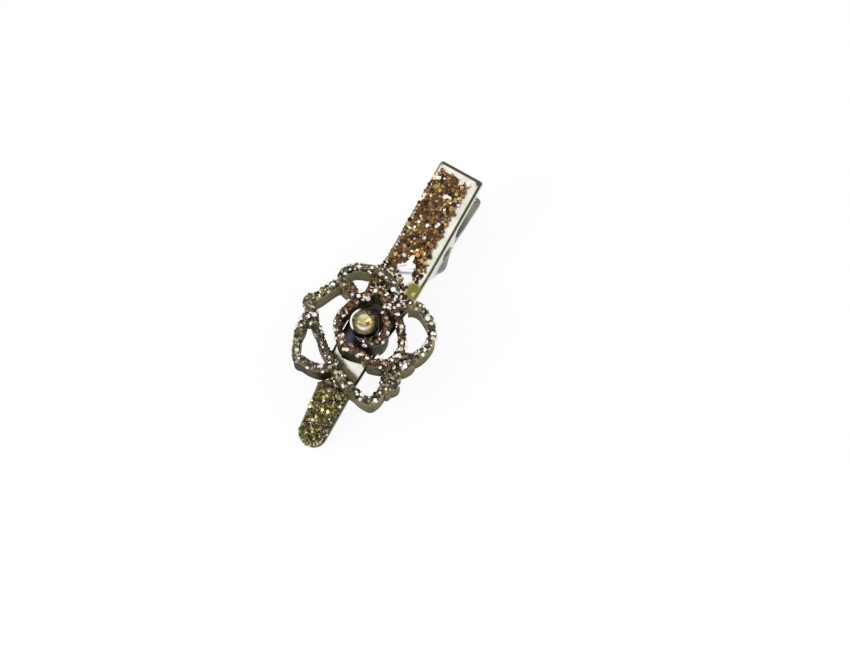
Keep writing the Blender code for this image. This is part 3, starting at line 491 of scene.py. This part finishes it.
def copyOfNode(node, name):
    piece = copyOfMesh(nodeMesh(node), name)
    bpy.ops.mesh.customdata_custom_splitnormals_clear()
    bpy.ops.object.mode_set(mode="EDIT")
    bpy.ops.mesh.select_all(action="SELECT")
    bpy.ops.mesh.remove_doubles(threshold=weld["distance"])
    bpy.ops.mesh.dissolve_limited(angle_limit=weld["flatAngle"])
    bpy.ops.object.mode_set(mode="OBJECT")
    return piece


def finishPiece(piece, material, slot, body, smoothAngle, *nodes):
    piece.data.materials.append(materials[material])
    makeActive(piece)
    bpy.ops.object.shade_smooth_by_angle(angle=math.radians(smoothAngle))
    if body:
        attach(piece, body)
    if nodes:
        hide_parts(*nodes)


rounding = {"segments": 2, "sharpAngle": math.radians(40), "smoothAngle": 38, "flatWeight": 60,
            "petal": 0.06 * mm}
metalPieces = (("upper_arm", "pressedUpperArm", "plate", "plated_strip", "upper", 0.10 * mm),
               ("lower_arm", "pressedLowerArm", "lever", "plated_lever", "lower", 0.10 * mm),
               ("hinge_pin", "rivetedPin", "pin", "pin_steel", "upper", 0.06 * mm),
               ("stone_cup", "stoneCup", "cup", "cup_metal", "upper", 0.05 * mm))
ownMetals = {"outer_petal_left": "shadedPetal", "inner_curl": "innerPetal"}


def roundEdges(piece, width):
    applyModifier(piece, "BEVEL", width=width, segments=rounding["segments"],
                  limit_method="ANGLE", angle_limit=rounding["sharpAngle"],
                  use_clamp_overlap=True)


def roundedNode(node, name, material, slot, body, width):
    piece = copyOfNode(node, name)
    roundEdges(piece, width)
    finishPiece(piece, material, slot, body, rounding["smoothAngle"], node)
    applyModifier(piece, "WEIGHTED_NORMAL", keep_sharp=True, weight=rounding["flatWeight"])


for row in metalPieces:
    roundedNode(*row)
for petal in petals:
    metal = ownMetals.get(petal, "outerPetal" if petal in outerPetals else "middlePetal")
    roundedNode(petal, petal + "_wall", metal, "petal_metal", "upper", rounding["petal"])
report("metal pieces made")


# Solder: a small column fills each joint between two petals
solderPlan = {"radius": 0.62 * mm, "sides": 14, "rounding": 0.12 * mm, "smoothAngle": 40,
              "joint": 0.3 * mm, "apart": 1.3 * mm, "belowRim": 0.1 * mm}


def jointsOfPetals():
    found = []
    walls = {name: BVHTree.FromPolygons([vertex.co for vertex in nodeMesh(name).vertices],
                                        [face.vertices for face in nodeMesh(name).polygons])
             for name in petals}
    for number, one in enumerate(petals):
        for other in petals[number + 1:]:
            low = max(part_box(name)[0].z for name in (one, other))
            high = min(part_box(name)[1].z for name in (one, other)) - solderPlan["belowRim"]
            for first, second in ((one, other), (other, one)):
                for vertex in nodeMesh(first).vertices:
                    point = walls[second].find_nearest(vertex.co, solderPlan["joint"])[0]
                    if point:
                        found.append((((vertex.co + point) / 2).xy, low, high))
    return found


def makeSolder():
    joints = []
    for place, low, high in jointsOfPetals():
        for group in joints:
            if (group[0][0] - place).length < solderPlan["apart"]:
                group[0].append(place)
                break
        else:
            joints.append(([place], low, high))
    deselectAll()
    columns = []
    for places, low, high in joints:
        middle = sum(places, Vector((0, 0))) / len(places)
        bpy.ops.mesh.primitive_cylinder_add(vertices=solderPlan["sides"],
                                            radius=solderPlan["radius"], depth=high - low,
                                            location=(*middle, (low + high) / 2))
        columns.append(bpy.context.object)
    for column in columns:
        column.select_set(True)
    bpy.ops.object.join()
    piece = bpy.context.object
    piece.name = "petalSolder"
    bpy.ops.object.transform_apply()
    roundEdges(piece, solderPlan["rounding"])
    finishPiece(piece, "outerPetal", "petal_metal", "upper", solderPlan["smoothAngle"])
    print("solder columns", len(joints))
    return piece


solder = makeSolder()
report("solder made")


# Spring: a welded copy of the frame's spring, smoothed
spring = {"blendReach": 1.5 * mm, "leverAngle": math.radians(33), "smoothAngle": 60}


def makeSpring():
    piece = copyOfNode("torsion_spring", "woundSpring")
    applyModifier(piece, "SUBSURF", levels=1, render_levels=1)
    finishPiece(piece, "spring", "spring_steel", None, spring["smoothAngle"], "torsion_spring")
    between = clipFrame.to_3x3() @ Matrix.Rotation(spring["leverAngle"] / 2, 3, "Y")
    reach = spring["blendReach"] * (between @ Vector((0, 0, 1)))
    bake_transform(piece)


makeSpring()
report("spring made")


# Glitter: one crystal and one flake are modelled, and copied over the upper faces of a mesh
chipForm = {"radius": 0.5, "crystal": (1.0, 0.82, 0.62), "flakeSides": 6, "flakeDepth": 0.22}


def modelCrystal():
    deselectAll()
    bpy.ops.mesh.primitive_ico_sphere_add(subdivisions=1, radius=chipForm["radius"])
    crystal = bpy.context.object
    bpy.ops.object.mode_set(mode="EDIT")
    bpy.ops.transform.resize(value=chipForm["crystal"])
    bpy.ops.object.mode_set(mode="OBJECT")
    return crystal


def modelFlake():
    deselectAll()
    bpy.ops.mesh.primitive_cylinder_add(vertices=chipForm["flakeSides"],
                                        radius=chipForm["radius"], depth=chipForm["flakeDepth"])
    return bpy.context.object


def takeShape(chip):                                  # corners and faces, and the chip goes
    mesh = chip.data
    shape = ([vertex.co.copy() for vertex in mesh.vertices],
             [tuple(face.vertices) for face in mesh.polygons])
    bpy.data.objects.remove(chip)
    return shape


crystalShape = takeShape(modelCrystal())
flakeShape = takeShape(modelFlake())


def upperTriangles(mesh, up, facing):                 # area, corners and normal of each
    found = []
    for face in mesh.polygons:
        points = [mesh.vertices[index].co for index in face.vertices]
        for second, third in zip(points[1:], points[2:]):
            corners = [points[0], second, third]
            normal = (corners[1] - corners[0]).cross(corners[2] - corners[0])
            if normal.length and normal.normalized().dot(up) > facing:
                found.append((normal.length / 2, corners, normal.normalized()))
    return found


def strewChips(triangles, plan, draw):
    weights = [row[0] for row in triangles]
    area = sum(weights)
    chips = []
    taken = {}
    for low, high, cover in plan["layers"]:
        count = int(cover * area / ((low + high) / 2) ** 2)
        for _ in range(count):
            _, corners, normal = draw.choices(triangles, weights)[0]
            first, second = draw.random(), draw.random()
            if first + second > 1:
                first, second = 1 - first, 1 - second
            size = draw.uniform(low, high)
            place = (corners[0] + first * (corners[1] - corners[0])
                     + second * (corners[2] - corners[0]))
            place += Vector((draw.uniform(-1, 1), draw.uniform(-1, 1), 0)) * plan["overhang"]
            if not plan["covers"](place):
                continue
            key = tuple(round(part / plan["largest"]) for part in place)
            near = [other for x in (-1, 0, 1) for y in (-1, 0, 1) for z in (-1, 0, 1)
                    for other in taken.get((key[0] + x, key[1] + y, key[2] + z), ())]
            if any((place - other).length < plan["spacing"] * (size + width) / 2
                   for other, width in near):
                continue
            taken.setdefault(key, []).append((place, size))
            chips.append((place, size, normal))
    return chips


beadPlan = {"depth": 0.75 * mm, "proud": 0.19 * mm, "voxel": 0.16 * mm,
            "smoothing": {"factor": 0.5, "iterations": 4}}


def makeBead(source, name, material):                 # glue that swells over the rim of a wall
    bead = copyOfMesh(source.data, name)
    rim = max(vertex.co.z for vertex in bead.data.vertices)
    bpy.ops.object.mode_set(mode="EDIT")
    bpy.ops.mesh.select_all(action="SELECT")
    bpy.ops.mesh.bisect(plane_co=(0, 0, rim - beadPlan["depth"]), plane_no=(0, 0, 1),
                        clear_inner=True, use_fill=True)
    bpy.ops.object.mode_set(mode="OBJECT")
    applyModifier(bead, "REMESH", mode="VOXEL", voxel_size=beadPlan["voxel"])
    applyModifier(bead, "DISPLACE", strength=beadPlan["proud"], mid_level=0.0)
    applyModifier(bead, "SMOOTH", **beadPlan["smoothing"])
    bead.data.materials.append(materials[material])
    makeActive(bead)
    bpy.ops.object.shade_smooth()
    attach(bead, "upper")
    return bead


# sparkle chips take the white top of their colour ramp, which other chips don't reach: painted
# glints, drawn larger and prouder
sparkle = {"share": (0.9, 1.0), "size": 1.25, "proud": 0.12, "otherShare": 0.87}


def makeGlitterPiece(name, mesh, material, plan, seed):
    draw = random.Random(seed)
    chips = strewChips(upperTriangles(mesh, plan["up"], plan["facing"]), plan, draw)
    corners, faces, shares = [], [], []
    for place, size, normal in chips:
        shape = flakeShape if draw.random() < plan["flakes"] else crystalShape
        spin = Quaternion(normal, draw.uniform(0, 2 * math.pi))
        lean = Quaternion(Vector((draw.uniform(-1, 1), draw.uniform(-1, 1), 0.01)).normalized(),
                          draw.uniform(-1, 1) * plan["lean"])
        turn = lean @ spin @ normal.to_track_quat("Z", "Y")
        share = sparkle["otherShare"] * draw.betavariate(*plan["brightness"])
        proud = plan["proud"]
        if draw.random() < plan["sparkles"]:
            share = draw.uniform(*sparkle["share"])
            size *= sparkle["size"]
            proud += sparkle["proud"]
        centre = place + normal * size * proud
        start = len(corners)
        corners += [centre + turn @ (point * size) for point in shape[0]]
        faces += [tuple(start + index for index in face) for face in shape[1]]
        shares += [share] * len(shape[0])
    layer = bpy.data.meshes.new(name)
    layer.from_pydata(corners, [], faces)
    layer.attributes.new("chipShare", "FLOAT", "POINT").data.foreach_set("value", shares)
    piece = addObject(name, layer)
    layer.materials.append(materials[material])
    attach(piece, "upper")
    print("chips in", name, len(chips))


# Where the chips lie on the strip itself, in mm; two waves make their edge ragged
stripPlan = {
    "waves": ((0.18, 9100), (0.15, 12700)), "frontEnd": -1.6, "leftFrom": 2.0, "leftRearEnd": 21,
    "rightEnd": -3.1, "bedFrom": 8, "tipEdgeFrom": -15.2}


def insideAny(place, circles, margin):
    return any(math.hypot(place.x / mm - x, place.y / mm - y) < radius + margin
               for x, y, radius in circles)


def coversAll(place):
    return True


def handleCovers(place):                              # all but the bare and the gilded places
    return not (insideAny(place, marks["bareHighlight"], marks["bareMargin"])
                or insideAny(place, marks["gold"], marks["goldMargin"]))


def stripCovers(place):                               # the strip's own top round the bed's front
    (high, often), (low, oftener) = stripPlan["waves"]
    ragged = high * math.sin(often * place.x) + low * math.sin(oftener * place.y)
    start = stripPlan["frontEnd"] * mm
    beside = (place.y > stripPlan["leftFrom"] * mm
              and start < place.x < (stripPlan["leftRearEnd"] + ragged) * mm)
    before = (place.y > (ragged + stripPlan["rightEnd"]) * mm
              and start < place.x < stripPlan["bedFrom"] * mm)
    return (beside or before) and handleCovers(place)


def tipEdgeCovers(place):                             # the strip's own top round the tip's bed
    return place.x < stripPlan["tipEdgeFrom"] * mm


# Layers of chips: smallest and largest size, and how many are tried for the area
handleGlitter = {
    "up": handleUp, "facing": 0.75, "covers": handleCovers,
    "largest": 0.95 * mm, "overhang": 0.12 * mm,
    "layers": ((0.7 * mm, 0.95 * mm, 6.0), (0.4 * mm, 0.6 * mm, 5.0)),
    "spacing": 0.7, "lean": math.radians(38), "proud": 0.12, "flakes": 0.3,
    "brightness": (1.25, 1.5), "sparkles": 0.07}
tipGlitter = {
    "up": Vector((-0.57, 0, 0.82)), "facing": 0.75, "covers": coversAll,
    "largest": 0.6 * mm, "overhang": 0.1 * mm,
    "layers": ((0.4 * mm, 0.6 * mm, 6.0), (0.22 * mm, 0.4 * mm, 6.0)),
    "spacing": 0.7, "lean": math.radians(35), "proud": 0.1, "flakes": 0.5,
    "brightness": (1.3, 1.9), "sparkles": 0.05}
ribGlitter = {
    "up": roseUp, "facing": 0.42, "covers": coversAll,
    "largest": 0.8 * mm, "overhang": 0.0,
    "layers": ((0.5 * mm, 0.72 * mm, 5.0), (0.3 * mm, 0.5 * mm, 7.0)),
    "spacing": 0.68, "lean": math.radians(40), "proud": 0.05, "flakes": 0.4,
    "brightness": (1.1, 1.4), "sparkles": 0.17}
stripGlitter = handleGlitter | {"covers": stripCovers}
tipEdgeGlitter = tipGlitter | {"covers": tipEdgeCovers}
solderGlitter = ribGlitter | {"facing": 0.8}
seeds = {"handle": 11, "strip": 13, "tip": 15, "tipEdge": 16, "petals": 20, "solder": 40}

makeGlitterPiece("handleChips", nodeMesh("handle_glitter"), "copper",
                 handleGlitter, seeds["handle"])
makeGlitterPiece("stripChips", nodeMesh("upper_arm"), "copper",
                 stripGlitter, seeds["strip"])
makeGlitterPiece("tipChips", nodeMesh("tip_glitter"), "olive",
                 tipGlitter, seeds["tip"])
makeGlitterPiece("tipEdgeChips", nodeMesh("upper_arm"), "olive",
                 tipEdgeGlitter, seeds["tipEdge"])
for number, petal in enumerate(petals):
    ring = "outer" if petal in outerPetals else "middle"
    bead = makeBead(bpy.data.objects[petal + "_wall"], petal + "_glue", ring + "Glue")
    makeGlitterPiece(petal + "_glitter", bead.data, ring + "Rib",
                     ribGlitter, seeds["petals"] + number)
makeGlitterPiece("solderGlitter", solder.data, "middleRib",
                 solderGlitter, seeds["solder"])
for node, finish in (("handle_glitter", "handleGlue"), ("tip_glitter", "tipGlue"),
                     ("centre_stone", "topaz")):
    nodeMesh(node).materials.clear()
    nodeMesh(node).materials.append(materials[finish])
report("glitter strewn")


# Floor, light and camera
floorPlan = {"reach": 3.0, "colour": (0.90, 0.90, 0.90), "plainShare": 0.9, "below": 0.01 * mm}


def makeFloor():                                      # the lens sees it white, with a faint shadow
    finish, shade, shader = startMaterial("whiteFloor", 0.0, 0.9)
    shader.inputs["Base Color"].default_value = (*floorPlan["colour"], 1.0)
    seen, glossy, through = (shade.make("ShaderNodeLightPath", out="Is " + kind + " Ray")
                             for kind in ("Camera", "Glossy", "Transmission"))
    white = shade.make("ShaderNodeEmission")
    plain = (seen | glossy | through) * floorPlan["plainShare"]
    blend = shade.make("ShaderNodeMixShader", None,
                       {0: plain, 1: Shade(shade.tree, shader.outputs[0]), 2: white})
    shade.feed(shade.tree.nodes["Material Output"].inputs["Surface"], blend)
    deselectAll()
    bpy.ops.mesh.primitive_plane_add(size=floorPlan["reach"],
                                     location=(0, 0, -floorPlan["below"]))
    floor = bpy.context.object
    floor.name = "floor"
    floor.data.materials.append(finish)


lightPlan = {
    "horizon": 0.50, "zenith": 1.0, "zenithFrom": 0.75,
    "lamps": {"key": ((-0.42, 0.32, 0.46), 0.26, 1.7),    # place, size and power
              "fill": ((0.40, -0.35, 0.45), 0.40, 0.6),
              "glint": ((-0.56, 0.35, 0.21), 0.11, 0.35)}}


def makeLights():
    world = bpy.data.worlds.new("paleRoom")
    bpy.context.scene.world = world
    world.use_nodes = True
    background = world.node_tree.nodes["Background"]
    background.inputs["Color"].default_value = (1, 1, 1, 1)
    shade = Shade(world.node_tree)
    upward = shade.make("ShaderNodeSeparateXYZ", None,
                        {0: shade.make("ShaderNodeTexCoord", out="Generated")}, 2)
    rise = upward.clipped(0.0, lightPlan["zenithFrom"])
    shade.feed(background.inputs["Strength"],
               rise * (lightPlan["zenith"] - lightPlan["horizon"]) + lightPlan["horizon"])
    for name, (place, size, power) in lightPlan["lamps"].items():
        lamp = bpy.data.lights.new(name, "AREA")
        lamp.energy = power
        lamp.size = size
        holder = addObject(name, lamp)
        holder.location = place
        holder.rotation_euler = (-Vector(place)).to_track_quat("-Z", "Y").to_euler()


cameraPlan = {
    "azimuth": -62.37, "elevation": 70.70, "roll": 3.13, "fieldOfView": 19.71,
    "target": Vector((-2.11, -8.41, 8.0)) * mm, "distance": 400 * mm, "clip": (1 * mm, 10)}


def makeCamera():
    azimuth, elevation, roll = (math.radians(cameraPlan[name])
                                for name in ("azimuth", "elevation", "roll"))
    back = Vector((math.sin(azimuth) * math.cos(elevation),
                   -math.cos(azimuth) * math.cos(elevation), math.sin(elevation)))
    right = Vector((math.cos(azimuth), math.sin(azimuth), 0))
    up = back.cross(right)
    across = math.cos(roll) * right + math.sin(roll) * up
    upward = math.cos(roll) * up - math.sin(roll) * right
    lens = bpy.data.cameras.new("camera")
    lens.sensor_fit = "HORIZONTAL"
    lens.angle = math.radians(cameraPlan["fieldOfView"])
    lens.clip_start, lens.clip_end = cameraPlan["clip"]
    camera = addObject("camera", lens)
    turn = Matrix((across, upward, back)).transposed().to_4x4()
    place = cameraPlan["target"] + cameraPlan["distance"] * back
    camera.matrix_world = Matrix.Translation(place) @ turn
    bpy.context.scene.camera = camera


makeFloor()
makeLights()
makeCamera()
bpy.context.scene.view_settings.view_transform = "Standard"
report("floor, light and camera made")

bpy.context.view_layer.update()
